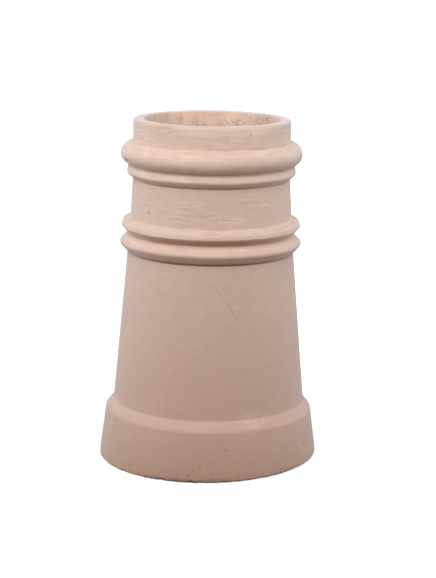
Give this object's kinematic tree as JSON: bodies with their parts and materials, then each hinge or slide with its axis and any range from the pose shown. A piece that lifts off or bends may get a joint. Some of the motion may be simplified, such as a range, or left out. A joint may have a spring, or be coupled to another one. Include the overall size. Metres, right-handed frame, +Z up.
{
  "type": "chimney pot",
  "caption": "Roll-top chimney pot of fired clay, open from mouth to foot, with a plain collar, round mouldings, a tapering body and a stepped foot.",
  "frame": {"origin": "centre of the foot, on the ground", "axes": "+Z up, +X the way the pot leans, -Y its front as pictured"},
  "size_m": [0.2914, 0.2914, 0.4517],
  "materials": {
    "buff_clay": "matt buff slip, brushed, on fired clay"
  },
  "bodies": {
    "root": {"chimney_pot": "buff_clay"}
  },
  "joints": []
}
